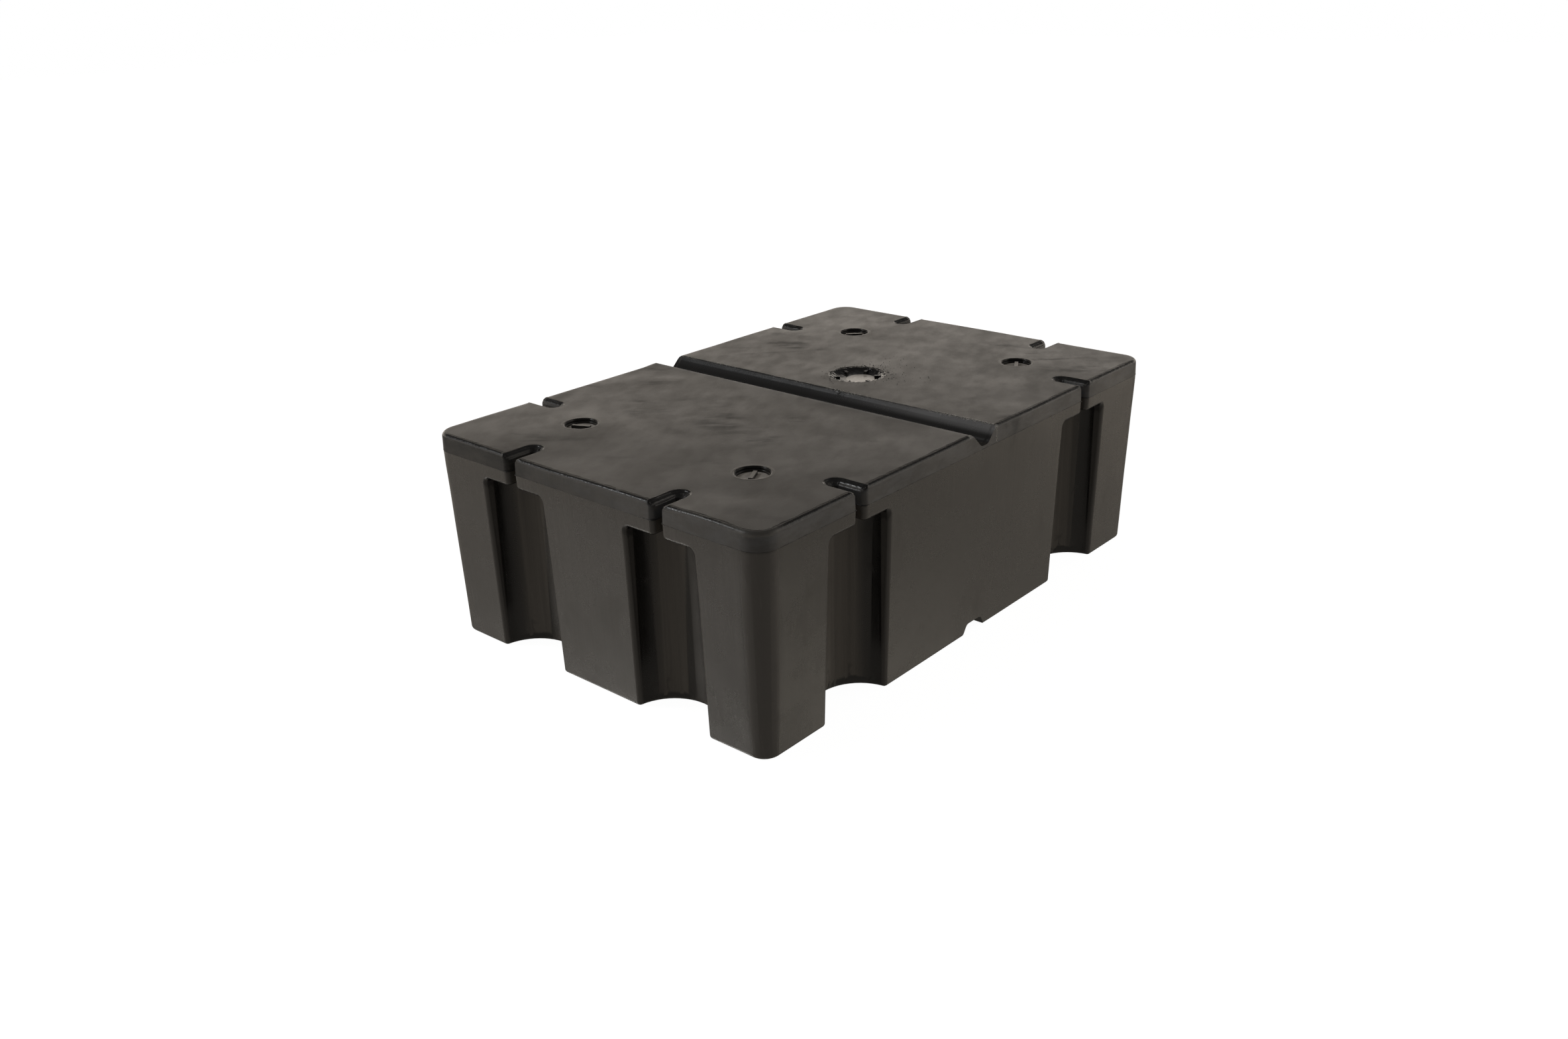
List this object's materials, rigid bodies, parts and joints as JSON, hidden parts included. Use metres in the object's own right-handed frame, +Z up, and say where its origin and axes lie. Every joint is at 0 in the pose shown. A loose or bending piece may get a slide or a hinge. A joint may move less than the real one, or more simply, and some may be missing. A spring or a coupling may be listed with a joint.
{
  "type": "dock float drum",
  "caption": "Sealed moulded dock float with a flanged deck, open fastening slots over rounded flutes, a groove across the top and plugged ports.",
  "frame": {"origin": "middle of the footprint, on the plane that the drum stands on", "axes": "+X along the length, towards the end nearer the filling port; +Y across the width; +Z up through the deck"},
  "size_m": [0.9144, 0.6096, 0.3048],
  "materials": {
    "moulded_skin": "matt, scuffed",
    "plug_plastic": "satin"
  },
  "bodies": {
    "root": {"drum_body": "moulded_skin", "plug_front_left": "plug_plastic", "plug_front_right": "plug_plastic", "plug_back_left": "plug_plastic", "plug_back_right": "plug_plastic", "fill_plug": "plug_plastic"}
  },
  "joints": []
}
